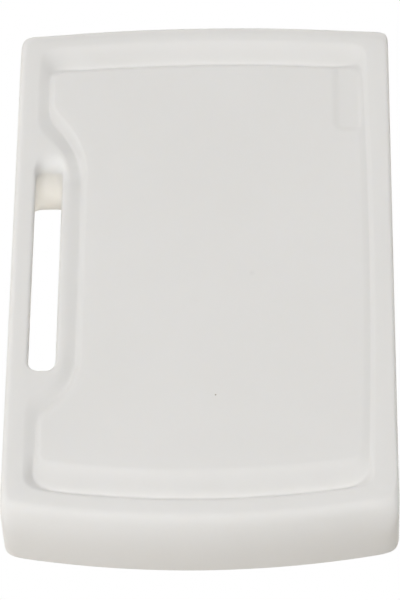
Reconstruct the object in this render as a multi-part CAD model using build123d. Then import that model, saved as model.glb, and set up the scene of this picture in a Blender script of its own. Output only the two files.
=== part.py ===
from build123d import *
import math
import os

# Thick butcher's cutting board, standing flat on four rubber feet.
# Millimetres. +X is to the right, +Y runs from the near end to the far end, +Z is up.
# The origin is on the worktop under the middle of the board. The handle is on the -X side.
# A hollow upper moulding is closed from below by a base plate, with a rib core between them.

# ---- overall sizes ----
board_width = 300.0
board_length = 500.0
body_height = 50.0
foot_stand_off = 3.0             # how far the feet hold the body above the worktop

# ---- outer shape of the upper moulding ----
near_bow = 15.0                  # how far the middle of the near end stands out past its corners
far_bow = 8.0
corner_radius = 14.0
end_roll_radius = 19.0           # soft roll from the top face into each end
side_roll_radius = 5.0

# ---- moulding walls ----
deck_thickness = 14.0
side_wall = 8.0
ledge_width = 3.0                # step inside the skirt that the seal presses on

# ---- juice groove ----
groove_depth = 6.0
groove_floor = 2.0               # flat at the bottom of the groove
groove_width_left = 13.0
groove_width_right = 11.5
groove_width_ends = 27.0
rim_left = 16.0                  # rim between the outline and the groove
rim_right = 14.5
rim_near = 32.0
rim_far = 22.5
groove_corner_radius = 16.0

# ---- handle slot, and the bend of the groove round it ----
slot_edge = 17.0                 # handle bar, from the outline to the top of the slot
slot_width = 21.0
slot_length = 195.0
slot_corner_radius = 8.0
slot_flare = 5.0                 # the bar's side of the slot leans out this much on its way down
slot_lip = 3.5                   # rounding of the slot's top edge
slot_block_wall = 8.0            # solid plastic round the slot
land_width = 5.5                 # flat land between the slot and the groove beside it
bend_width = 15.0                # width of the groove where it passes the slot
far_bend_lead = 9.5              # the bend starts to sweep back this far before the slot's end
near_bend_lead = 13.5
far_sweep_outer = 46.0           # length of each sweep, from there to the groove along the side
far_sweep_inner = 70.0
near_sweep_outer = 34.0
near_sweep_inner = 57.0
bend_blend_radius = 12.0

# ---- juice well in the far right corner ----
well_width = 28.0
well_length = 84.0
well_depth = 4.0
well_corner_radius = 9.0
well_draft = 25.0                # degrees

# ---- underside ----
plate_thickness = 6.0
plate_clearance = 0.3
seal_thickness = 1.5

# ---- rib core ----
rib_thickness = 3.0
cells_between_feet_x = 5         # from one foot's screw boss to the other, centre to centre
cells_between_feet_y = 8
core_clearance = 1.0             # round the edge of the core
core_top_gap = 0.3

# ---- feet and fasteners ----
foot_radius = 17.0
foot_recess = 2.5
foot_edge_radius = 1.0
foot_pocket_depth = 3.4
foot_inset_x = 37.5
foot_inset_y = 50.0
screw_radius = 2.0
screw_hole_clearance = 0.3
thread_clearance = 0.1
screw_head_radius = 4.2
screw_head_height = 2.0
screw_grip = 16.0                # length of screw inside its boss
screw_tip_height = 2.0
screw_tip_radius = 0.8
driver_radius = 1.8              # hexagon socket in each screw head
driver_depth = 1.2
head_pocket_depth = 3.0
head_pocket_clearance = 0.6
washer_radius = 5.2
washer_thickness = 0.8
boss_radius = 5.0
boss_hole_spare = 3.0            # depth of the boss hole past the screw's tip

# ---- levels and lines that follow from the sizes above ----
half_width = board_width / 2
half_length = board_length / 2
skirt_level = foot_stand_off
top_level = skirt_level + body_height
deck_underside = top_level - deck_thickness
plate_top = skirt_level + plate_thickness
groove_level = top_level - groove_depth
foot_top = skirt_level + foot_recess
slot_left = -half_width + slot_edge
slot_right = slot_left + slot_width
foot_x = half_width - foot_inset_x
foot_y = half_length - foot_inset_y
screw_tip_level = plate_top + screw_grip
bend_far_start = slot_length / 2 - far_bend_lead
bend_near_start = near_bend_lead - slot_length / 2
overshoot = 2.0                  # how far cutting shapes run past the faces they cut
tolerance = 0.001                # for finding corners and edges by their place

# Every boss stands in the middle of a cell of the rib core.
rib_pitch_x = 2 * foot_x / cells_between_feet_x
rib_pitch_y = 2 * foot_y / cells_between_feet_y
foot_places = {
    "front_left_foot": (-foot_x, -foot_y),
    "front_right_foot": (foot_x, -foot_y),
    "rear_left_foot": (-foot_x, foot_y),
    "rear_right_foot": (foot_x, foot_y),
}
cell_x = rib_pitch_x / 2
plate_screw_places = [
    (x, side * y)
    for x, y in ((-cell_x, foot_y), (cell_x, foot_y), (-3 * cell_x, foot_y / 2), (foot_x, foot_y / 2))
    for side in (-1, 1)
]


def bow_radius(bow):
    return (half_width ** 2 + bow ** 2) / (2 * bow)


def end_arc(left, right, apex_y, bow):
    """Arc from x = left to x = right, standing out furthest on the centre line."""
    radius = bow_radius(bow)
    outward = math.copysign(1, apex_y)

    def arc_point(x):
        return (x, apex_y - outward * (radius - math.sqrt(radius ** 2 - x ** 2)))

    return ThreePointArc(arc_point(left), arc_point((left + right) / 2), arc_point(right))


def round_corners(face, radius, wanted):
    """Round the corners of a plan for which wanted(x, y) is true."""
    corners = [v for v in face.vertices() if wanted(v.X, v.Y)]
    return fillet(corners, radius)


def outline_plan():
    near = end_arc(-half_width, half_width, -half_length, near_bow)
    far = end_arc(half_width, -half_width, half_length, far_bow)
    plan = make_face([near, Line(near @ 1, far @ 0), far, Line(far @ 1, near @ 0)])
    return fillet(plan.vertices(), corner_radius)


def ring_plan(left, right, near, far, bend_x, far_sweep, near_sweep):
    """Plan of one edge of the groove: bowed ends, and a bend inwards round the handle."""
    far_end = bend_far_start + far_sweep
    near_end = bend_near_start - near_sweep
    near_arc = end_arc(left, right, near, near_bow)
    far_arc = end_arc(right, left, far, far_bow)
    sides = [
        near_arc,
        Line(near_arc @ 1, far_arc @ 0),
        far_arc,
        Line(far_arc @ 1, (left, far_end)),
        TangentArc((bend_x, bend_far_start), (left, far_end), tangent=(0, 1)),
        Line((bend_x, bend_far_start), (bend_x, bend_near_start)),
        TangentArc((bend_x, bend_near_start), (left, near_end), tangent=(0, -1)),
        Line((left, near_end), near_arc @ 0),
    ]

    def at_groove_corner(x, y):
        return y > far_end + overshoot or y < near_end - overshoot

    def at_sweep_end(x, y):
        return min(abs(y - far_end), abs(y - near_end)) < tolerance

    plan = round_corners(make_face(sides), groove_corner_radius, at_groove_corner)
    return round_corners(plan, bend_blend_radius, at_sweep_end)


def groove_ring():
    """Solid that cuts the groove: an outer pocket less the island that it runs round."""
    ends = groove_width_ends
    left = groove_width_left
    right = groove_width_right

    def ring(share, floor, level):
        """Loop at a share of the groove's width from its outer edge, plus a part of its floor."""
        def across(width):
            return share * (width - groove_floor) + floor

        plan = ring_plan(
            -half_width + rim_left + across(left),
            half_width - rim_right - across(right),
            -half_length + rim_near + across(ends),
            half_length - rim_far - across(ends),
            slot_right + land_width + across(bend_width),
            far_sweep_outer + share * (far_sweep_inner - far_sweep_outer),
            near_sweep_outer + share * (near_sweep_inner - near_sweep_outer),
        )
        return Pos(0, 0, level) * plan

    pocket = loft([ring(0.5, 0, groove_level), ring(0, 0, top_level)], ruled=True)
    island = loft(
        [ring(0.5, groove_floor, groove_level), ring(1, groove_floor, top_level)], ruled=True
    )
    return pocket - island


def juice_well():
    """Shallow pocket between the far groove and the right groove."""
    right = half_width - rim_right - groove_width_right / 2
    far = half_length - rim_far - groove_width_ends / 2
    plan = RectangleRounded(well_width, well_length, well_corner_radius)
    centre = Pos(right - well_width / 2, far - well_length / 2, top_level)
    return extrude(centre * plan, amount=-well_depth, taper=well_draft)


def handle_slot():
    """Hand hole. The bar's side leans out towards the underside, which gives the fingers room."""
    middle = (slot_left + slot_right) / 2
    top_plan = RectangleRounded(slot_width, slot_length, slot_corner_radius)
    foot_plan = RectangleRounded(slot_width + slot_flare, slot_length, slot_corner_radius)
    return loft(
        [
            Pos(middle - slot_flare / 2, 0, skirt_level) * foot_plan,
            Pos(middle, 0, top_level) * top_plan,
        ],
        ruled=True,
    )


def slot_rim(body):
    """Edges where the handle slot meets the top face."""
    top_edges = body.edges().filter_by_position(Axis.Z, top_level - tolerance, top_level + tolerance)
    return [
        edge for edge in top_edges
        if slot_left - tolerance < edge.center().X < slot_right + tolerance
        and abs(edge.center().Y) < slot_length / 2 + tolerance
    ]


def end_roller(apex_y, bow):
    """Large round solid whose rim gives one bowed end its curve and its rolled top edge."""
    radius = bow_radius(bow)
    section = make_face(
        Polyline(
            (0, skirt_level), (radius, skirt_level), (radius, top_level), (0, top_level), close=True
        )
    )
    section = round_corners(
        section, end_roll_radius, lambda x, y: x > radius / 2 and y > deck_underside
    )
    centre_y = apex_y - math.copysign(radius, apex_y)
    return Pos(0, centre_y, 0) * revolve(Plane.XZ * section, Axis.Z)


def side_roller():
    """Bar along Y that rounds the top edges of the two long sides."""
    middle = skirt_level + body_height / 2
    section = Pos(0, middle) * Rectangle(board_width, body_height)
    section = round_corners(section, side_roll_radius, lambda x, y: y > middle)
    return extrude(Plane.XZ * section, amount=half_length + overshoot, both=True)


def inside_plan(grow):
    """Plan of the hollow in the moulding, grown by an amount all round.

    It stays clear of the solid block round the handle slot.
    """
    plan = offset(outline_plan(), amount=grow - side_wall)
    block_right = slot_right + slot_block_wall - grow
    block_left = -half_width - overshoot
    block_length = slot_length + 2 * (slot_block_wall - grow)
    block = Pos((block_left + block_right) / 2, 0) * Rectangle(block_right - block_left, block_length)
    return plan - block


def plate_plan():
    return inside_plan(ledge_width - plate_clearance)


def prism(plan, low, high):
    return extrude(Pos(0, 0, low) * plan, amount=high - low)


def post(x, y, radius, low, high):
    return Pos(x, y, (low + high) / 2) * Cylinder(radius, high - low)


def boss_places():
    return list(foot_places.values()) + plate_screw_places


def cutting_shell():
    """Upper moulding: deck, rim, skirt, handle block and screw bosses in one piece."""
    body = prism(outline_plan(), skirt_level, top_level)
    body = body & end_roller(-half_length, near_bow)
    body = body & end_roller(half_length, far_bow)
    body = body & side_roller()
    body -= groove_ring()
    body -= juice_well()
    body -= handle_slot()
    body = fillet(slot_rim(body), slot_lip)
    body -= prism(inside_plan(0), skirt_level, deck_underside)
    body -= prism(inside_plan(ledge_width), skirt_level, plate_top + seal_thickness)
    for x, y in boss_places():
        body += post(x, y, boss_radius, plate_top, deck_underside + overshoot)
    for x, y in boss_places():
        body -= post(
            x, y, screw_radius + thread_clearance, plate_top, screw_tip_level + boss_hole_spare
        )
    return body


def base_plate():
    """Flat cover that closes the moulding from below."""
    plate = prism(plate_plan(), skirt_level, plate_top)
    for x, y in boss_places():
        plate -= post(x, y, screw_radius + screw_hole_clearance, skirt_level, plate_top)
    for x, y in foot_places.values():
        plate -= post(x, y, foot_radius + plate_clearance, skirt_level, foot_top)
    for x, y in plate_screw_places:
        plate -= post(
            x, y, screw_head_radius + head_pocket_clearance, skirt_level,
            skirt_level + head_pocket_depth,
        )
    return plate


def perimeter_seal():
    """Flat gasket between the base plate and the ledge inside the skirt."""
    return prism(plate_plan() - inside_plan(0), plate_top, plate_top + seal_thickness)


def rib_core():
    """Egg-crate insert that carries the deck on the base plate."""
    region = inside_plan(-core_clearance)
    ribs = region - inside_plan(-core_clearance - rib_thickness)
    columns = math.floor(half_width / rib_pitch_x)
    rows = math.floor(half_length / rib_pitch_y)
    for i in range(1 - columns, columns):
        ribs += region & Pos(i * rib_pitch_x, 0) * Rectangle(rib_thickness, board_length)
    for i in range(-rows, rows):
        ribs += region & Pos(0, (i + 0.5) * rib_pitch_y) * Rectangle(board_width, rib_thickness)
    return prism(ribs, plate_top, deck_underside - core_top_gap)


def rubber_foot(x, y):
    """Round foot, seated in a recess of the base plate, with a pocket for its screw head."""
    foot = post(x, y, foot_radius, 0, foot_top)
    rim = foot.edges().filter_by(GeomType.CIRCLE).sort_by(Axis.Z)[0]
    foot = fillet(rim, foot_edge_radius)
    foot -= post(x, y, washer_radius + screw_hole_clearance, 0, foot_pocket_depth)
    foot -= post(x, y, screw_radius + screw_hole_clearance, 0, foot_top)
    return foot


def screw(x, y, seat_level):
    """Screw pointing up, with the underside of its head at seat_level."""
    head_level = seat_level - screw_head_height
    head = post(x, y, screw_head_radius, head_level, seat_level)
    socket = prism(RegularPolygon(driver_radius, 6), head_level, head_level + driver_depth)
    head -= Pos(x, y, 0) * socket
    shank_end = screw_tip_level - screw_tip_height
    shank = post(x, y, screw_radius, seat_level, shank_end)
    tip = Cone(screw_radius, screw_tip_radius, screw_tip_height)
    return head + shank + Pos(x, y, shank_end + screw_tip_height / 2) * tip


def foot_screws():
    seat = foot_pocket_depth - washer_thickness
    return Compound(children=[screw(x, y, seat) for x, y in foot_places.values()])


def foot_washers():
    washers = []
    for x, y in foot_places.values():
        ring = post(x, y, washer_radius, foot_pocket_depth - washer_thickness, foot_pocket_depth)
        hole = post(x, y, screw_radius + screw_hole_clearance, 0, foot_pocket_depth)
        washers.append(ring - hole)
    return Compound(children=washers)


def base_screws():
    seat = skirt_level + head_pocket_depth
    return Compound(children=[screw(x, y, seat) for x, y in plate_screw_places])


nodes = {
    "cutting_shell": cutting_shell(),
    "base_plate": base_plate(),
    "perimeter_seal": perimeter_seal(),
    "rib_core": rib_core(),
    "foot_screws": foot_screws(),
    "foot_washers": foot_washers(),
    "base_screws": base_screws(),
}
for foot_name, (foot_place_x, foot_place_y) in foot_places.items():
    nodes[foot_name] = rubber_foot(foot_place_x, foot_place_y)

os.makedirs("parts", exist_ok=True)
for node_name, shape in nodes.items():
    export_step(shape, f"parts/{node_name}.step")
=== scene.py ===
import math

import bpy
import numpy as np
from mathutils import Matrix, Vector
from mathutils.geometry import delaunay_2d_cdt


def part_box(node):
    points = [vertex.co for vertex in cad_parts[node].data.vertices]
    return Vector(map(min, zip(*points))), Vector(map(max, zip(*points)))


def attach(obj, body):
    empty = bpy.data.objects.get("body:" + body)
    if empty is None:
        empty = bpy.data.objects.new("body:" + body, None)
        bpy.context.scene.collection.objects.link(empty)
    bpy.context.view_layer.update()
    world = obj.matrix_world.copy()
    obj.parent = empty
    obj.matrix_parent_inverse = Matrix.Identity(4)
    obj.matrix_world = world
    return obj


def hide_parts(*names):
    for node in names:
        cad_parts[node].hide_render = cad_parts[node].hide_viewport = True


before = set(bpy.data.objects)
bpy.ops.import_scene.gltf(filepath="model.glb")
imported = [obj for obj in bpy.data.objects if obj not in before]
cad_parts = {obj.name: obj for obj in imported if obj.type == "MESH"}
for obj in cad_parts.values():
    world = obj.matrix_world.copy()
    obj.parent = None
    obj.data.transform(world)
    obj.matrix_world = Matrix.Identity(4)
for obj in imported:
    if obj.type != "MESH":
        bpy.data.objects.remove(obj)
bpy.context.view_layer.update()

# A thick white cutting board on four rubber feet. One smooth modelled skin stands for the CAD
# moulding. The base plate, seal, rib core, feet, screws and washers are the CAD nodes themselves,
# with materials of their own.
# Shapes are worked out in millimetres, and written to the meshes in metres.
# +X is right, +Y runs from the near end to the far end, and the handle is on the -X side.

MM = 0.001
shell_low, shell_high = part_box("cutting_shell")
plate_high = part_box("base_plate")[1]
seal_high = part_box("perimeter_seal")[1]
core_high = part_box("rib_core")[1]
foot_low, foot_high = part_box("rear_right_foot")
KEEP_INSIDE = 0.05               # holds the skin this far inside the CAD box
CORE_GAP = 0.3                   # between the rib core and the underside of the deck above it
HALF_WIDTH = shell_high.x / MM - KEEP_INSIDE
HALF_LENGTH = shell_high.y / MM - KEEP_INSIDE
TOP = shell_high.z / MM - KEEP_INSIDE
SKIRT = shell_low.z / MM
PLATE_TOP = plate_high.z / MM
LEDGE = seal_high.z / MM         # level that the seal presses on
DECK_UNDERSIDE = core_high.z / MM + CORE_GAP
FOOT_X = (foot_low.x + foot_high.x) / 2 / MM
FOOT_Y = (foot_low.y + foot_high.y) / 2 / MM

# ---- outline of the moulding ----
NEAR_BOW = 15.0                  # how far the middle of the near end stands out past its corners
FAR_BOW = 8.0
OUTLINE_SOFTNESS = 7.0           # spread of the rounding at the corners, in plan
ROLL_RUN = {"left": 5.0, "right": 3.0, "near": 21.0, "far": 17.0}    # in from the wall, in plan
ROLL_DROP = {"left": 6.0, "right": 3.5, "near": 38.0, "far": 20.0}   # down from the top face
ROLL_BLEND = 12.0                # spread of the change from one kind of roll to the next
BOTTOM_EDGE = 1.2                # rounding of the skirt's lower edge

# ---- juice groove ----
RIM_LEFT = 16.0                  # flat rim between the outline and the groove, roll included
RIM_RIGHT = 14.5
RIM_NEAR = 32.0
RIM_FAR = 22.5
RIM_RIGHT_BOW = 3.4              # the rim on the right widens this much towards its ends
GROOVE_LEFT = 13.0
GROOVE_RIGHT = 9.5
GROOVE_ENDS = 27.0
GROOVE_SOFTNESS = 8.0            # spread of the rounding at the groove's corners, in plan
GROOVE_DEPTH = {                 # of the bottom below the top face, on each stretch of a loop
    "near": 7.0, "right": 0.8, "far": 7.0, "left_far": 2.3,
    "far_sweep": 4.0, "bend": 1.7, "near_sweep": 4.0, "left_near": 2.3,
}
GROOVE_BOTTOM = {                # where the bottom lies, as a share of the width from outside
    "near": 0.17, "right": 0.45, "far": 0.76, "left_far": 0.7,
    "far_sweep": 0.6, "bend": 0.64, "near_sweep": 0.7, "left_near": 0.7,
}
GROOVE_MARGIN = 0.06             # share of the width that the rounded edges reach past it
GROOVE_BOTTOM_ROUNDING = 0.10    # the slopes meet softly over about this share of the depth
GROOVE_EDGE_ROUNDING = 0.045

# ---- handle slot, and the bend of the groove round it ----
SLOT_EDGE = 17.0                 # width of the bar between the outline and the slot
SLOT_WIDTH = 21.0
SLOT_LENGTH = 195.0
SLOT_CORNER = 8.0
SLOT_FLARE = 5.0                 # how far the wall on the bar side leans out on its way down
SLOT_FAR_DRAFT = 4.5             # how far the wall at the far end leans in on its way down
LIP_SIDES = 3.0                  # rounding of the slot's top edge
LIP_NEAR = 3.0
LIP_FAR = 20.0                   # long soft slope down into the slot's far end
LIP_FAR_DEPTH = 9.0
LIP_FAR_ROUNDNESS = 0.075        # growth of the far corners' radius, as a share of that slope's length
LAND = 5.5                       # between the slot and the groove beside it
BEND_WIDTH = 15.0
BEND_FAR_START = 88.0            # where the straight stretch of groove beside the slot ends
BEND_NEAR_START = -88.0
BEND_FAR_OUTER = 134.0           # where the bend meets the groove along the side
BEND_FAR_INNER = 158.0
BEND_NEAR_OUTER = -118.0
BEND_NEAR_INNER = -141.0

# ---- juice well ----
WELL_WIDTH = 28.0
WELL_LENGTH = 84.0
WELL_DEPTH = 1.2
WELL_CORNER = 11.0
WELL_SLOPE = 7.0                 # width of its sloping walls, in plan
WELL_ROUNDING = 0.25             # softness of the edge where it runs into the groove

# ---- hollow underside ----
SIDE_WALL = 8.0
SLOT_BLOCK_WALL = 8.0            # solid plastic round the slot
LEDGE_WIDTH = 3.0
BOSS_RADIUS = 5.0
BOSS_HOLE_RADIUS = 2.1
BOSS_HOLE_TOP = 28.0             # level of the closed end of a boss's hole
HALF_CELLS_TO_FOOT = 5           # half cells of the rib core between the middle and a foot
HALF_CELL = FOOT_X / HALF_CELLS_TO_FOOT

# ---- fineness of the skin ----
STEP = 1.5                       # spacing of points along the loops
LOOSE_STEP = 7.0                 # spacing of points on flat faces
FINE_STEP = 1.6                  # spacing of points round the juice well
FILLING_CLEARANCE = 0.7          # share of a spacing that such points keep from the loops
BLUR_REACH = 4                   # a loop's blur takes in this many spreads to each side
SAME_POINT = 1e-7                # points closer than this count as one
EDGE_LOOPS = 4
WALL_LOOPS = 4
ROLL_LOOPS = 16
GROOVE_LOOPS = 28
LIP_LOOPS = 14
SLOT_WALL_LOOPS = 5
SLOT_CORNER_POINTS = 16
SLOT_END_STEPS = 8               # steps along the straight middle of the slot's ends
CIRCLE_POINTS = 32

SLOT_LEFT = -HALF_WIDTH + SLOT_EDGE
SLOT_RIGHT = SLOT_LEFT + SLOT_WIDTH


# ---------------------------------------------------------------- curves in plan

def points(x, y):
    """Points in plan, one to a row. Either x or y may be one number for all of them."""
    return np.stack(np.broadcast_arrays(x, y), axis=1).astype(float)


def shares(count):
    """Shares of the way along a stretch, without its last point, which starts the next one."""
    return np.arange(count) / count


def bowed_y(x, apex_y, bow):
    """Y of a bowed end at x: its middle stands out, and its corners are drawn back."""
    radius = (HALF_WIDTH ** 2 + bow ** 2) / (2 * bow)
    return apex_y - math.copysign(1, apex_y) * (radius - np.sqrt(radius ** 2 - x ** 2))


def sweep_x(start, end, y):
    """X at y of the arc that leaves start along Y and arrives at end."""
    dx, dy = end[0] - start[0], end[1] - start[1]
    if dx == 0:
        return np.full_like(y, start[0])
    radius = (dx * dx + dy * dy) / (2 * abs(dx))
    return start[0] + math.copysign(1, dx) * (radius - np.sqrt(radius ** 2 - (y - start[1]) ** 2))


def stretch_counts():
    """Number of points on each stretch of a loop, the same in every loop, so that loops join."""
    across = 2 * HALF_WIDTH - RIM_LEFT - RIM_RIGHT
    lengths = {
        "near": across,
        "right": 2 * HALF_LENGTH - RIM_NEAR - RIM_FAR,
        "far": across,
        "left_far": HALF_LENGTH - RIM_FAR - BEND_FAR_INNER,
        "far_sweep": BEND_FAR_INNER - BEND_FAR_START,
        "bend": BEND_FAR_START - BEND_NEAR_START,
        "near_sweep": BEND_NEAR_START - BEND_NEAR_INNER,
        "left_near": HALF_LENGTH - RIM_NEAR + BEND_NEAR_INNER,
    }
    return {name: round(length / STEP) for name, length in lengths.items()}


COUNTS = stretch_counts()


def soften(values, spread):
    """Gaussian blur of values round a closed loop whose points are about STEP apart."""
    reach = math.ceil(BLUR_REACH * spread / STEP)
    weights = np.exp(-0.5 * (np.arange(-reach, reach + 1) * STEP / spread) ** 2)
    weights /= weights.sum()
    columns = values.reshape(len(values), -1)
    padded = np.concatenate([columns[-reach:], columns, columns[:reach]])
    soft = [np.convolve(column, weights, mode="valid") for column in padded.T]
    return np.stack(soft, axis=1).reshape(values.shape)


def along(values):
    """A value for each point of a loop, blended from one for each stretch. A stretch without
    a value of its own takes the left side's."""
    steps = [
        np.full(count, values.get(name, values.get("left"))) for name, count in COUNTS.items()
    ]
    return soften(np.concatenate(steps), ROLL_BLEND)


def loop(left, right, near, far, bend, far_end, near_end, softness, right_bow=0.0):
    """Closed loop in plan: bowed ends, and a bend inwards round the handle where bend > left."""
    share = {name: shares(count) for name, count in COUNTS.items()}
    corner = right - right_bow
    x_rising = left + (corner - left) * share["near"]
    x_right = right - right_bow * (2 * share["right"] - 1) ** 2
    x_falling = corner + (left - corner) * share["far"]
    near_left, near_right = bowed_y(np.array([left, corner]), near, NEAR_BOW)
    far_left, far_right = bowed_y(np.array([left, corner]), far, FAR_BOW)
    y_far_sweep = far_end + (BEND_FAR_START - far_end) * share["far_sweep"]
    y_near_sweep = BEND_NEAR_START + (near_end - BEND_NEAR_START) * share["near_sweep"]
    stretches = [
        points(x_rising, bowed_y(x_rising, near, NEAR_BOW)),
        points(x_right, near_right + (far_right - near_right) * share["right"]),
        points(x_falling, bowed_y(x_falling, far, FAR_BOW)),
        points(left, far_left + (far_end - far_left) * share["left_far"]),
        points(sweep_x((bend, BEND_FAR_START), (left, far_end), y_far_sweep), y_far_sweep),
        points(bend, BEND_FAR_START + (BEND_NEAR_START - BEND_FAR_START) * share["bend"]),
        points(sweep_x((bend, BEND_NEAR_START), (left, near_end), y_near_sweep), y_near_sweep),
        points(left, near_end + (near_left - near_end) * share["left_near"]),
    ]
    return soften(np.concatenate(stretches), softness)


def outline_loop(left, right, near, far):
    """The outline, drawn in by a distance on each side."""
    left_x = -HALF_WIDTH + left
    return loop(
        left_x, HALF_WIDTH - right, -HALF_LENGTH + near, HALF_LENGTH - far, left_x,
        BEND_FAR_INNER, BEND_NEAR_INNER, OUTLINE_SOFTNESS,
    )


def inset_loop(inset):
    """The outline, drawn in by the same distance all round."""
    return outline_loop(inset, inset, inset, inset)


def groove_edge(share):
    """The groove's outer edge, for a share of 0, or its inner edge, for 1."""
    return loop(
        -HALF_WIDTH + RIM_LEFT + share * GROOVE_LEFT,
        HALF_WIDTH - RIM_RIGHT - share * GROOVE_RIGHT,
        -HALF_LENGTH + RIM_NEAR + share * GROOVE_ENDS,
        HALF_LENGTH - RIM_FAR - share * GROOVE_ENDS,
        SLOT_RIGHT + LAND + share * BEND_WIDTH,
        BEND_FAR_OUTER + share * (BEND_FAR_INNER - BEND_FAR_OUTER),
        BEND_NEAR_OUTER + share * (BEND_NEAR_INNER - BEND_NEAR_OUTER),
        GROOVE_SOFTNESS, RIM_RIGHT_BOW,
    )


def slot_loop(sides, near, far, flare):
    """Rounded rectangle round the handle slot, grown by a distance on its sides and at each end,
    and by flare as well on the bar side."""
    left = SLOT_LEFT - sides - flare
    right = SLOT_RIGHT + sides
    radius = SLOT_CORNER + sides
    far_radius = radius + LIP_FAR_ROUNDNESS * far
    near_y = SLOT_CORNER - SLOT_LENGTH / 2
    far_y = -near_y
    side_y = far_y + (near_y - far_y) * shares(round(SLOT_LENGTH / STEP))[1:]
    along_end = shares(SLOT_END_STEPS)[1:]

    def end_x(start, stop):
        return start + (stop - start) * along_end

    def corner(x, y, radius_x, radius_y, start):
        turn = np.radians(np.linspace(start, start + 90, SLOT_CORNER_POINTS))
        return points(x + radius_x * np.cos(turn), y + radius_y * np.sin(turn))

    stretches = [
        corner(right - far_radius, far_y, far_radius, SLOT_CORNER + far, 0),
        points(end_x(right - far_radius, left + far_radius), far_y + SLOT_CORNER + far),
        corner(left + far_radius, far_y, far_radius, SLOT_CORNER + far, 90),
        points(left, side_y),
        corner(left + radius, near_y, radius, SLOT_CORNER + near, 180),
        points(end_x(left + radius, right - radius), near_y - SLOT_CORNER - near),
        corner(right - radius, near_y, radius, SLOT_CORNER + near, 270),
        points(right, side_y[::-1]),
    ]
    return np.concatenate(stretches)


def hollow_loop(inset):
    """Inner wall of the moulding, which stays clear of the solid block round the slot."""
    ring = inset_loop(inset)
    shrink = SIDE_WALL - inset
    block_right = SLOT_RIGHT + SLOT_BLOCK_WALL - shrink
    block_end = SLOT_LENGTH / 2 + SLOT_BLOCK_WALL - shrink
    beside = np.flatnonzero((ring[:, 0] < block_right) & (np.abs(ring[:, 1]) < block_end))
    left = -HALF_WIDTH + inset
    notch = [(left, block_end), (block_right, block_end), (block_right, -block_end), (left, -block_end)]
    return np.concatenate([ring[:beside[0]], notch, ring[beside[-1] + 1:]])


def circle(x, y, radius):
    turn = shares(CIRCLE_POINTS) * 2 * math.pi
    return points(x + radius * np.cos(turn), y + radius * np.sin(turn))


# ---------------------------------------------------------------- heights

def soft_lower(a, b, rounding):
    """The lower of two values, with a rounded change-over."""
    return -rounding * np.logaddexp(-a / rounding, -b / rounding)


def soft_upper(a, b, rounding):
    """The upper of two values, with a rounded change-over."""
    return rounding * np.logaddexp(a / rounding, b / rounding)


def carved(cut, plan):
    """Depth below the top face where a cut of the groove and the juice well run together."""
    return soft_upper(cut, well_depth(plan), WELL_ROUNDING) - WELL_ROUNDING * math.log(2)


def groove_profile(share, bottom):
    """Depth across the groove, from 0 at its edges to 1 at its bottom, with rounded turns."""
    slopes = soft_lower(share / bottom, (1 - share) / (1 - bottom), GROOVE_BOTTOM_ROUNDING)
    return soft_upper(slopes, 0.0, GROOVE_EDGE_ROUNDING) / (1 - GROOVE_BOTTOM_ROUNDING * math.log(2))


def well_depth(plan):
    """Depth of the juice well in the far right corner: a shallow pocket with sloping walls."""
    right = HALF_WIDTH - RIM_RIGHT - GROOVE_RIGHT / 2
    far = HALF_LENGTH - RIM_FAR - GROOVE_ENDS / 2
    centre = np.array([right - WELL_WIDTH / 2, far - WELL_LENGTH / 2])
    half = np.array([WELL_WIDTH, WELL_LENGTH]) / 2 - WELL_CORNER
    beyond = np.abs(plan - centre) - half
    outside = np.linalg.norm(np.maximum(beyond, 0), axis=1)
    distance = outside + np.minimum(beyond.max(axis=1), 0) - WELL_CORNER
    share = np.clip(-distance / WELL_SLOPE, 0, 1)
    return WELL_DEPTH * share * share * (3 - 2 * share)


# ---------------------------------------------------------------- mesh building

class Skin:
    """Collects the points and faces of one closed surface. Loops run anticlockwise from above."""

    def __init__(self):
        self.points = []
        self.faces = []

    def add(self, plan, height):
        """Adds points at one height, or at a height each, and returns their numbers."""
        start = len(self.points)
        heights = np.broadcast_to(height, len(plan))
        self.points += [(x, y, z) for (x, y), z in zip(plan, heights)]
        return np.arange(start, start + len(plan))

    def plan(self, ids):
        return np.array([self.points[i][:2] for i in ids])

    def heights(self, ids):
        return np.array([self.points[i][2] for i in ids])

    def band(self, *loops):
        """Four-sided faces between each loop and the next, all with as many points."""
        for first, second in zip(loops, loops[1:]):
            corners = (first, np.roll(first, -1), np.roll(second, -1), second)
            self.faces += list(zip(*(corner.tolist() for corner in corners)))

    def sheet(self, loops, extra, upward):
        """Triangles over the area between closed loops, through extra points inside it."""
        ids = np.concatenate([*loops, extra])
        flat = self.plan(ids)
        edges = []
        start = 0
        for ring in loops:
            edges += [(start + i, start + (i + 1) % len(ring)) for i in range(len(ring))]
            start += len(ring)
        made = delaunay_2d_cdt([Vector(p) for p in flat], edges, [], 0, SAME_POINT)
        triangles = np.array(made[2])
        spots = np.array([tuple(spot) for spot in made[0]])
        source = np.array([numbers[0] for numbers in made[3]])
        keep = inside(spots[triangles].mean(axis=1), [self.plan(ring) for ring in loops])
        order = [0, 1, 2] if upward else [0, 2, 1]
        self.faces += [tuple(face) for face in ids[source[triangles[keep]]][:, order].tolist()]

    def to_object(self, name):
        mesh = bpy.data.meshes.new(name)
        mesh.from_pydata((np.array(self.points) * MM).tolist(), [], self.faces)
        mesh.validate()
        mesh.polygons.foreach_set("use_smooth", [True] * len(mesh.polygons))
        thing = bpy.data.objects.new(name, mesh)
        bpy.context.scene.collection.objects.link(thing)
        return thing


def inside(spots, rings):
    """True for each spot with an odd number of loops round it."""
    odd = np.zeros(len(spots), bool)
    for ring in rings:
        for (x0, y0), (x1, y1) in zip(ring, np.roll(ring, -1, axis=0)):
            if y0 == y1:
                continue
            crosses = (y0 > spots[:, 1]) != (y1 > spots[:, 1])
            x_cross = x0 + (spots[:, 1] - y0) * (x1 - x0) / (y1 - y0)
            odd ^= crosses & (spots[:, 0] < x_cross)
    return odd


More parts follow.
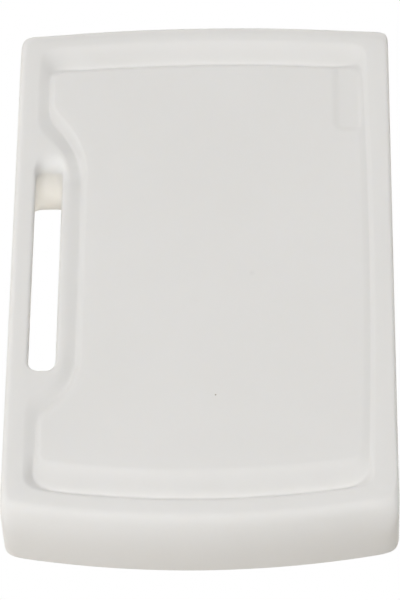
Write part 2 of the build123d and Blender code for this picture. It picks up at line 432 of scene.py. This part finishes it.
def filling(rings, step, low, high):
    """Staggered points in a rectangle, inside the loops and clear of their points."""
    rows = np.arange(low[1], high[1], step * math.sqrt(3) / 2)
    spots = np.concatenate([
        points(np.arange(low[0], high[0], step) + i % 2 * step / 2, y) for i, y in enumerate(rows)
    ])
    spots = spots[inside(spots, rings)]
    keep = np.ones(len(spots), bool)
    for corner in np.concatenate(rings):
        keep &= ((spots - corner) ** 2).sum(axis=1) > (FILLING_CLEARANCE * step) ** 2
    return spots[keep]


# ---------------------------------------------------------------- the moulding

EVERYWHERE = ((-HALF_WIDTH, -HALF_LENGTH), (HALF_WIDTH, HALF_LENGTH))
NO_POINTS = np.array([], int)


def outer_walls(skin):
    """The skirt's rounded lower edge, the wall and the roll over into the rim, from below up."""
    outline = inset_loop(0)
    run = outline_loop(**ROLL_RUN) - outline
    drop = along(ROLL_DROP)
    low = SKIRT + BOTTOM_EDGE
    loops = []
    for turn in np.radians(90 * shares(EDGE_LOOPS)):
        inset = BOTTOM_EDGE * (1 - math.sin(turn))
        loops.append(skin.add(inset_loop(inset), low - BOTTOM_EDGE * math.cos(turn)))
    for share in shares(WALL_LOOPS):
        loops.append(skin.add(outline, low + share * (TOP - drop - low)))
    for turn in np.radians(np.linspace(0, 90, ROLL_LOOPS)):
        plan = outline + run * (1 - math.cos(turn))
        loops.append(skin.add(plan, TOP - drop * (1 - math.sin(turn))))
    skin.band(*loops)
    return loops[0], loops[-1]


def groove(skin):
    """The juice groove, as loops from its outer edge to the deck."""
    outer, inner = groove_edge(0), groove_edge(1)
    depth = along(GROOVE_DEPTH)
    bottom = along(GROOVE_BOTTOM)
    loops = []
    for share in np.linspace(-GROOVE_MARGIN, 1 + GROOVE_MARGIN, GROOVE_LOOPS):
        plan = outer + share * (inner - outer)
        loops.append(skin.add(plan, TOP - carved(depth * groove_profile(share, bottom), plan)))
    skin.band(*loops)
    return loops[0], loops[-1]


def slot_walls(skin):
    """The walls of the handle slot, from its rounded lip down to the underside."""
    loops = []
    for turn in np.radians(np.linspace(90, 0, LIP_LOOPS)):
        grow = 1 - math.cos(turn)
        plan = slot_loop(LIP_SIDES * grow, LIP_NEAR * grow, LIP_FAR * grow, 0)
        at_end = np.clip((np.abs(plan[:, 1]) - SLOT_LENGTH / 2) / SLOT_CORNER + 1, 0, 1)
        end_lip = np.where(plan[:, 1] > 0, LIP_FAR_DEPTH, LIP_NEAR)
        lip = LIP_SIDES + (end_lip - LIP_SIDES) * at_end
        loops.append(skin.add(plan, TOP - lip * (1 - math.sin(turn))))
    lip_foot = skin.heights(loops[-1])
    low = SKIRT + BOTTOM_EDGE
    for share in np.linspace(0, 1, SLOT_WALL_LOOPS + 1)[1:]:
        plan = slot_loop(0, 0, -SLOT_FAR_DRAFT * share, SLOT_FLARE * share)
        loops.append(skin.add(plan, lip_foot + share * (low - lip_foot)))
    foot = slot_loop(BOTTOM_EDGE, BOTTOM_EDGE, BOTTOM_EDGE - SLOT_FAR_DRAFT, SLOT_FLARE)
    loops.append(skin.add(foot, SKIRT))
    skin.band(*loops)
    return loops[0], loops[-1]


def top_faces(skin, rim, groove_outer, groove_inner, slot_top):
    """The flat rim round the groove, and the deck inside it with its share of the juice well,
    round which the points lie closer together."""
    rim_loops = [rim, groove_outer, slot_top]
    spots = filling([skin.plan(ring) for ring in rim_loops], LOOSE_STEP, *EVERYWHERE)
    skin.sheet(rim_loops, skin.add(spots, TOP), upward=True)

    deck = [skin.plan(groove_inner)]
    fine_low = (HALF_WIDTH - RIM_RIGHT - GROOVE_RIGHT - WELL_WIDTH, HALF_LENGTH / 2 - RIM_FAR)
    loose = filling(deck, LOOSE_STEP, *EVERYWHERE)
    loose = loose[(loose[:, 0] < fine_low[0]) | (loose[:, 1] < fine_low[1])]
    spots = np.concatenate([loose, filling(deck, FINE_STEP, fine_low, EVERYWHERE[1])])
    skin.sheet([groove_inner], skin.add(spots, TOP - carved(0, spots)), upward=True)


def underside(skin, skirt_edge, slot_foot):
    """The hollow that the base plate closes, with a ledge for the seal and bosses for screws."""
    opening = hollow_loop(SIDE_WALL - LEDGE_WIDTH)
    low_edge, high_edge = skin.add(opening, SKIRT), skin.add(opening, LEDGE)
    skin.sheet([skirt_edge, low_edge, slot_foot], NO_POINTS, upward=False)
    skin.band(high_edge, low_edge)
    wall = hollow_loop(SIDE_WALL)
    wall_foot, ceiling = skin.add(wall, LEDGE), skin.add(wall, DECK_UNDERSIDE)
    skin.sheet([high_edge, wall_foot], NO_POINTS, upward=False)
    skin.band(ceiling, wall_foot)
    boss_tops = [boss(skin, x, y) for x, y in boss_places()]
    skin.sheet([ceiling, *boss_tops], NO_POINTS, upward=False)


def boss_places():
    """Middles of the twelve bosses, four of them over the feet, each in the middle of a cell."""
    places = ((FOOT_X, FOOT_Y), (-FOOT_X, FOOT_Y), (HALF_CELL, FOOT_Y), (-HALF_CELL, FOOT_Y))
    places += ((FOOT_X, FOOT_Y / 2), (-3 * HALF_CELL, FOOT_Y / 2))
    return [(x, side * y) for x, y in places for side in (-1, 1)]


def boss(skin, x, y):
    """One hollow screw boss, hanging from the deck. Returns its upper edge."""
    outside, hole = circle(x, y, BOSS_RADIUS), circle(x, y, BOSS_HOLE_RADIUS)
    top, foot = skin.add(outside, DECK_UNDERSIDE), skin.add(outside, PLATE_TOP)
    hole_foot, hole_top = skin.add(hole, PLATE_TOP), skin.add(hole, BOSS_HOLE_TOP)
    skin.band(foot, top)
    skin.sheet([foot, hole_foot], NO_POINTS, upward=False)
    skin.band(hole_top, hole_foot)
    skin.sheet([hole_top], NO_POINTS, upward=False)
    return top


def build_moulding():
    skin = Skin()
    skirt_edge, rim = outer_walls(skin)
    groove_outer, groove_inner = groove(skin)
    slot_top, slot_foot = slot_walls(skin)
    top_faces(skin, rim, groove_outer, groove_inner, slot_top)
    underside(skin, skirt_edge, slot_foot)
    return skin.to_object("moulded_body")


# ---------------------------------------------------------------- materials

# Noise scales are per metre and depths of relief are in metres. Places are in millimetres.
# In patches, low and high are the noise values where a patch starts and where it is full.
NOISE_SPAN = (0.3, 0.7)               # most of a noise's values lie between these
PLASTIC_IOR = 1.5

PE_LIGHT = (0.835, 0.826, 0.811)
PE_SHADED = (0.823, 0.814, 0.797)
PE_MOTTLING = {"scale": 11, "detail": 4.0, "low": 0.35, "high": 0.65}
PE_SCUFFED = (0.800, 0.790, 0.770)
PE_SCUFFS = {"scale": 38, "detail": 5.0, "low": 0.62, "high": 0.80, "most": 0.5, "roughness": 0.7}
PE_ROUGHNESS = {"scale": 60, "detail": 4.0, "low": 0.40, "high": 0.52}
PE_GRAIN = {"scale": 1400, "detail": 3.0, "depth": 0.000012}
PE_WAVES = {"scale": 120, "detail": 2.0, "depth": 0.00003}
WEAR_STARTS = 0.6                     # scuffs and scratches start this far below the top face
WEAR_FULL = 0.2
SCRATCHES = ((0.35, 3.1), (-0.85, 1.7), (1.45, 2.3))    # turn of each set, and how short it is
SCRATCH_SCALE = (14, 950, 40)         # scratches run along X, across the board
SCRATCH_SPAN = (0.70, 0.76)
SCRATCH_DEPTH = 0.00002

PE_PAINTED_GLOW = (0.920, 0.914, 0.898)     # painted light: the slot's far wall is painted lighter than the rest, for the glow of light from below in the slot
PAINTED_GLOW_DEPTH = 19.0                   # middle of that painted light, below the top face
PAINTED_GLOW_RADIUS = 16.0
PAINTED_GLOW_SOFTNESS = 10.0
PE_SMUDGED = (0.790, 0.782, 0.768)
SMUDGE = {"x": 39.4, "y": -8.4, "radius": 0.5, "softness": 2.5}
SPECK_COLOUR = (0.30, 0.25, 0.19)
SPECK = {"x": 11.8, "y": -123.1, "radius": 0.35, "softness": 0.45}

BASE_TONES = ((0.82, 0.81, 0.79), (0.78, 0.77, 0.745))
CORE_TONES = ((0.78, 0.78, 0.76), (0.72, 0.72, 0.70))
PLASTIC_MOTTLING = {"scale": 18, "detail": 4.0, "low": 0.35, "high": 0.65}
PLASTIC_GRAIN = {"scale": 900, "detail": 4.0, "depth": 0.00006, "roughness": 0.65}
PLASTIC_ROUGHNESS = {"scale": 75, "detail": 3.0, "low": 0.48, "high": 0.62}

SEAL_TONES = ((0.55, 0.55, 0.54), (0.46, 0.46, 0.45))
FOOT_TONES = ((0.36, 0.36, 0.36), (0.27, 0.27, 0.27))
RUBBER_DUST = {"scale": 90, "detail": 5.0, "low": 0.35, "high": 0.7}
RUBBER_ROUGHNESS = {"scale": 240, "detail": 3.0, "low": 0.62, "high": 0.85}
PEBBLE_SCALE = 1300.0
PEBBLE_DEPTH = 0.00008

STEEL_TONES = ((0.76, 0.75, 0.73), (0.62, 0.61, 0.59))
STEEL_TARNISH = {"scale": 420, "detail": 4.0, "low": 0.35, "high": 0.7}
STEEL_ROUGHNESS = {"scale": 700, "detail": 3.0, "low": 0.22, "high": 0.38}
TURNING_SCALE = (4000, 4000, 9000)
TURNING_DEPTH = 0.000015


def socket_name(word):
    """The shader's own name for a socket: subsurface_weight is Subsurface Weight."""
    return word.replace("_", " ").title().replace("Ior", "IOR")


class Look:
    """A material with a Principled shader, and short calls for the nodes that drive it."""

    def __init__(self, name, **values):
        self.material = bpy.data.materials.new(name)
        self.material.use_nodes = True
        self.tree = self.material.node_tree
        self.shader = self.tree.nodes["Principled BSDF"]
        for socket, value in values.items():
            self.shader.inputs[socket_name(socket)].default_value = value
        self.place = self.node("ShaderNodeTexCoord").outputs["Object"]

    def node(self, kind, inputs=(), **settings):
        """Adds a node. Each input is a value or the output of another node."""
        made = self.tree.nodes.new(kind)
        for name, value in settings.items():
            setattr(made, name, value)
        for name, value in dict(inputs).items():
            if isinstance(value, bpy.types.NodeSocket):
                self.tree.links.new(value, made.inputs[name])
            else:
                made.inputs[name].default_value = value
        return made

    def noise(self, scale, detail, roughness=0.5, place=None):
        inputs = {
            "Vector": place or self.place, "Scale": scale, "Detail": detail, "Roughness": roughness,
        }
        return self.node("ShaderNodeTexNoise", inputs).outputs["Fac"]

    def stretched(self, scale, turn):
        """The object's coordinates scaled along each axis and then turned about Z. Streaks run
        along the axis with the smallest scale, and the turn only gives a different set of them."""
        inputs = {"Vector": self.place, "Rotation": (0, 0, turn), "Scale": scale}
        return self.node("ShaderNodeMapping", inputs).outputs["Vector"]

    def remap(self, value, low, high, to_low, to_high):
        limits = {"From Min": low, "From Max": high, "To Min": to_low, "To Max": to_high}
        inputs = {"Value": value, **limits}
        return self.node("ShaderNodeMapRange", inputs).outputs["Result"]

    def patches(self, scale, detail, low, high, most=1.0, roughness=0.5):
        """0 where a noise is at low or below, rising to most where it is at high or above."""
        return self.remap(self.noise(scale, detail, roughness), low, high, 0.0, most)

    def varied(self, scale, detail, low, high):
        """A value that wanders between low and high over the surface."""
        return self.remap(self.noise(scale, detail), *NOISE_SPAN, low, high)

    def product(self, a, b):
        return self.node("ShaderNodeMath", {0: a, 1: b}, operation="MULTIPLY").outputs["Value"]

    def mix(self, factor, a, b):
        """Colour a where factor is 0, and colour b where it is 1. Of the node's sockets, inputs
        6 and 7 and output 2 are the ones for colours."""
        made = self.node("ShaderNodeMix", {0: factor}, data_type="RGBA")
        for socket, value in ((made.inputs[6], a), (made.inputs[7], b)):
            if isinstance(value, bpy.types.NodeSocket):
                self.tree.links.new(value, socket)
            else:
                socket.default_value = (*value, 1)
        return made.outputs[2]

    def drive(self, **outputs):
        """Joins node outputs to the shader's sockets."""
        for socket, output in outputs.items():
            self.tree.links.new(output, self.shader.inputs[socket_name(socket)])

    def bump(self, height, depth, under=None):
        """Relief, depth metres from its lowest to its highest."""
        inputs = {"Height": height, "Distance": depth, "Strength": 1.0}
        if under is not None:
            inputs["Normal"] = under
        return self.node("ShaderNodeBump", inputs).outputs["Normal"]

    def relief(self, scale, detail, depth, roughness=0.5, under=None):
        """Relief with the shape of a noise."""
        return self.bump(self.noise(scale, detail, roughness), depth, under)

    def spot(self, x, y, radius, softness, z=TOP):
        """1 within a radius of a point, fading to 0 over softness. In millimetres."""
        offset = self.node(
            "ShaderNodeVectorMath", {0: self.place, 1: (-x * MM, -y * MM, -z * MM)}, operation="ADD"
        )
        distance = self.node(
            "ShaderNodeVectorMath", {0: offset.outputs["Vector"]}, operation="LENGTH"
        ).outputs["Value"]
        return self.remap(distance, radius * MM, (radius + softness) * MM, 1.0, 0.0)


def polyethylene():
    """White polyethylene: satin, a little waxy, finely grained, with faint marks from use."""
    look = Look(
        "satin_polyethylene", ior=PLASTIC_IOR, subsurface_weight=0.12, subsurface_scale=0.004,
        subsurface_radius=(1.0, 0.9, 0.75),
    )
    height = look.node("ShaderNodeSeparateXYZ", {0: look.place}).outputs["Z"]
    wear_starts, wear_full = (TOP - WEAR_STARTS) * MM, (TOP - WEAR_FULL) * MM
    on_deck = look.remap(height, wear_starts, wear_full, 0.0, 1.0)

    tone = look.mix(look.patches(**PE_MOTTLING), PE_LIGHT, PE_SHADED)
    tone = look.mix(look.product(look.patches(**PE_SCUFFS), on_deck), tone, PE_SCUFFED)
    # Painted light: a lighter tone on the slot's far wall stands in for the glow of light from below in
    # the slot.
    painted_glow_z = TOP - PAINTED_GLOW_DEPTH
    painted_glow = look.spot(SLOT_RIGHT, SLOT_LENGTH / 2, PAINTED_GLOW_RADIUS, PAINTED_GLOW_SOFTNESS, z=painted_glow_z)
    tone = look.mix(painted_glow, tone, PE_PAINTED_GLOW)
    tone = look.mix(look.spot(**SMUDGE), tone, PE_SMUDGED)
    tone = look.mix(look.spot(**SPECK), tone, SPECK_COLOUR)

    normal = look.relief(**PE_GRAIN)
    normal = look.relief(**PE_WAVES, under=normal)
    along_scale, across_scale, down_scale = SCRATCH_SCALE
    for turn, shortness in SCRATCHES:
        place = look.stretched((along_scale * shortness, across_scale, down_scale), turn)
        streaks = look.noise(1.0, detail=1.0, place=place)
        scratch = look.product(look.remap(streaks, *SCRATCH_SPAN, 0.0, -1.0), on_deck)
        normal = look.bump(scratch, SCRATCH_DEPTH, under=normal)
    satin = look.varied(**PE_ROUGHNESS)
    look.drive(base_color=tone, roughness=satin, normal=normal)
    return look.material


def rubber(name, light, dark):
    """Matt moulded rubber with a fine pebbled surface and a dusty variation in tone."""
    look = Look(name, ior=PLASTIC_IOR, specular_ior_level=0.35)
    dust = look.patches(**RUBBER_DUST)
    pebbles = look.node("ShaderNodeTexVoronoi", {"Vector": look.place, "Scale": PEBBLE_SCALE})
    normal = look.bump(pebbles.outputs["Distance"], PEBBLE_DEPTH)
    rough = look.varied(**RUBBER_ROUGHNESS)
    look.drive(base_color=look.mix(dust, dark, light), roughness=rough, normal=normal)
    return look.material


def moulded_plastic(name, light, dark):
    """Plain moulded plastic for the base plate and the core, with a fine spark-eroded grain."""
    look = Look(name, ior=PLASTIC_IOR)
    mottling = look.patches(**PLASTIC_MOTTLING)
    normal = look.relief(**PLASTIC_GRAIN)
    rough = look.varied(**PLASTIC_ROUGHNESS)
    look.drive(base_color=look.mix(mottling, light, dark), roughness=rough, normal=normal)
    return look.material


def turned_steel():
    """Stainless steel with the fine marks and dull patches that turning and handling leave."""
    look = Look("turned_stainless", metallic=1.0)
    tarnish = look.patches(**STEEL_TARNISH)
    marks = look.noise(1.0, detail=2.0, place=look.stretched(TURNING_SCALE, 0.0))
    rough = look.varied(**STEEL_ROUGHNESS)
    look.drive(
        base_color=look.mix(tarnish, *STEEL_TONES),
        roughness=rough, normal=look.bump(marks, TURNING_DEPTH),
    )
    return look.material


moulding = build_moulding()
moulding.data.materials.append(polyethylene())
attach(moulding, "root")
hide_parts("cutting_shell")


def dress(material, *names):
    """Gives CAD nodes a material."""
    for name in names:
        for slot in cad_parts[name].material_slots:
            slot.material = material


FEET = [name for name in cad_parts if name.endswith("_foot")]
dress(moulded_plastic("base_plastic", *BASE_TONES), "base_plate")
dress(moulded_plastic("core_plastic_look", *CORE_TONES), "rib_core")
dress(rubber("gasket_rubber", *SEAL_TONES), "perimeter_seal")
dress(rubber("non_slip_rubber", *FOOT_TONES), *FEET)
dress(turned_steel(), "foot_screws", "foot_washers", "base_screws")


# ---------------------------------------------------------------- floor, light and camera

# Sizes and places here are in metres, and those of the strip under the slot in millimetres.
FLOOR_SIZE = 6.0
FLOOR_BOUNCE = (0.30, 0.285, 0.27, 1)
FLOOR_GLOW = (1.0, 0.965, 0.89, 1)
FLOOR_GLOW_STRENGTH = 0.47
FLOOR_ROUGHNESS = 0.9
SLOT_GLOW_STRENGTH = 5.2
SLOT_GLOW_LEVEL = 0.3                 # above the floor
SLOT_GLOW_WIDTH = 9.0
SLOT_GLOW_GAP = 24.0                  # from the strip's far end to the slot's
SKY = (1.0, 0.995, 0.985, 1)
SKY_STRENGTH = 2.12
SKY_CURVE = (0.95, -4.63, 5.08)       # constant, z and z^2 terms of its strength at height z
SKY_LEAN = (-0.14, -0.03, 0.0)        # a little brighter to the left and near
FILL_PLACE = (-0.95, -0.85, 0.12)
FILL_SIZE = 0.5
FILL_ENERGY = 1.7

LENS = 229.0                          # focal length in millimetres
CAMERA_AZIMUTH = 3.3                  # degrees round from looking along +Y
CAMERA_ELEVATION = 54.2
CAMERA_ROLL = -3.4
CAMERA_DISTANCE = 2.994
CAMERA_TARGET = (-0.0019, -0.0173, 0.030)


def white_to_camera(tree, surface, output):
    """The backdrop reads as plain white from the camera, and lights the board as surface does."""
    mix = tree.nodes.new("ShaderNodeMixShader")
    path = tree.nodes.new("ShaderNodeLightPath")
    white = tree.nodes.new("ShaderNodeEmission")
    tree.links.new(path.outputs["Is Camera Ray"], mix.inputs["Fac"])
    tree.links.new(surface, mix.inputs[1])
    tree.links.new(white.outputs[0], mix.inputs[2])
    tree.links.new(mix.outputs[0], output.inputs["Surface"])


def backdrop(name, corners, level, strength):
    """A flat staged sheet that is white to the camera, and lights the board with its own glow."""
    mesh = bpy.data.meshes.new(name)
    mesh.from_pydata([(x * MM, y * MM, level * MM) for x, y in corners], [], [range(len(corners))])
    sheet = bpy.data.objects.new(name, mesh)
    bpy.context.scene.collection.objects.link(sheet)
    look = Look(
        name + "_look", base_color=FLOOR_BOUNCE, roughness=FLOOR_ROUGHNESS,
        emission_color=FLOOR_GLOW, emission_strength=strength,
    )
    white_to_camera(look.tree, look.shader.outputs[0], look.tree.nodes["Material Output"])
    mesh.materials.append(look.material)


def slot_light_strip():
    """Corners of a strip under the bar side of the handle slot, which lights it from below."""
    left = SLOT_LEFT - SLOT_FLARE
    right = left + SLOT_GLOW_WIDTH
    near = -SLOT_LENGTH / 2
    far = SLOT_LENGTH / 2 - SLOT_GLOW_GAP
    return [(left, near), (right, near), (right, far), (left, far)]


def make_sky():
    """A sky that is bright low down and overhead, and leans to the left and near side."""
    world = bpy.data.worlds.new("studio")
    world.use_nodes = True
    tree = world.node_tree
    sky = tree.nodes["Background"]
    sky.inputs["Color"].default_value = SKY
    direction = tree.nodes.new("ShaderNodeTexCoord").outputs["Generated"]
    height = tree.nodes.new("ShaderNodeSeparateXYZ")
    tree.links.new(direction, height.inputs[0])
    lean = tree.nodes.new("ShaderNodeVectorMath")
    lean.operation = "DOT_PRODUCT"
    lean.inputs[1].default_value = SKY_LEAN
    tree.links.new(direction, lean.inputs[0])

    def multiply_add(a, b, c):
        made = tree.nodes.new("ShaderNodeMath")
        made.operation = "MULTIPLY_ADD"
        for socket, value in zip(made.inputs, (a, b, c)):
            if isinstance(value, bpy.types.NodeSocket):
                tree.links.new(value, socket)
            else:
                socket.default_value = value
        return made.outputs[0]

    up = height.outputs["Z"]
    curve = multiply_add(multiply_add(up, SKY_CURVE[2], SKY_CURVE[1]), up, SKY_CURVE[0])
    strength = multiply_add(multiply_add(lean.outputs["Value"], 1.0, curve), SKY_STRENGTH, 0.0)
    tree.links.new(strength, sky.inputs["Strength"])
    white_to_camera(tree, sky.outputs[0], tree.nodes["World Output"])
    bpy.context.scene.world = world


def make_fill():
    """A low soft light out beyond the near left corner, which points at the board."""
    lamp = bpy.data.lights.new("fill", "AREA")
    lamp.shape = "DISK"
    lamp.size = FILL_SIZE
    lamp.energy = FILL_ENERGY
    fill = bpy.data.objects.new("fill", lamp)
    fill.location = FILL_PLACE
    fill.rotation_mode = "QUATERNION"
    fill.rotation_quaternion = (-Vector(FILL_PLACE)).to_track_quat("-Z", "Y")
    bpy.context.scene.collection.objects.link(fill)


def make_camera():
    azimuth, elevation, roll = map(math.radians, (CAMERA_AZIMUTH, CAMERA_ELEVATION, CAMERA_ROLL))
    back = Vector((
        math.sin(azimuth) * math.cos(elevation),
        -math.cos(azimuth) * math.cos(elevation),
        math.sin(elevation),
    ))
    data = bpy.data.cameras.new("camera")
    data.lens = LENS
    camera = bpy.data.objects.new("camera", data)
    level = back.to_track_quat("Z", "Y").to_matrix()
    camera.matrix_world = Matrix.Translation(Vector(CAMERA_TARGET) + back * CAMERA_DISTANCE) @ (
        level @ Matrix.Rotation(roll, 3, "Z")
    ).to_4x4()
    bpy.context.scene.collection.objects.link(camera)
    bpy.context.scene.camera = camera


backdrop("floor", circle(0, 0, FLOOR_SIZE / 2 / MM), 0, FLOOR_GLOW_STRENGTH)
backdrop("slot_light", slot_light_strip(), SLOT_GLOW_LEVEL, SLOT_GLOW_STRENGTH)
make_sky()
make_fill()
make_camera()
bpy.context.scene.view_settings.view_transform = "Standard"
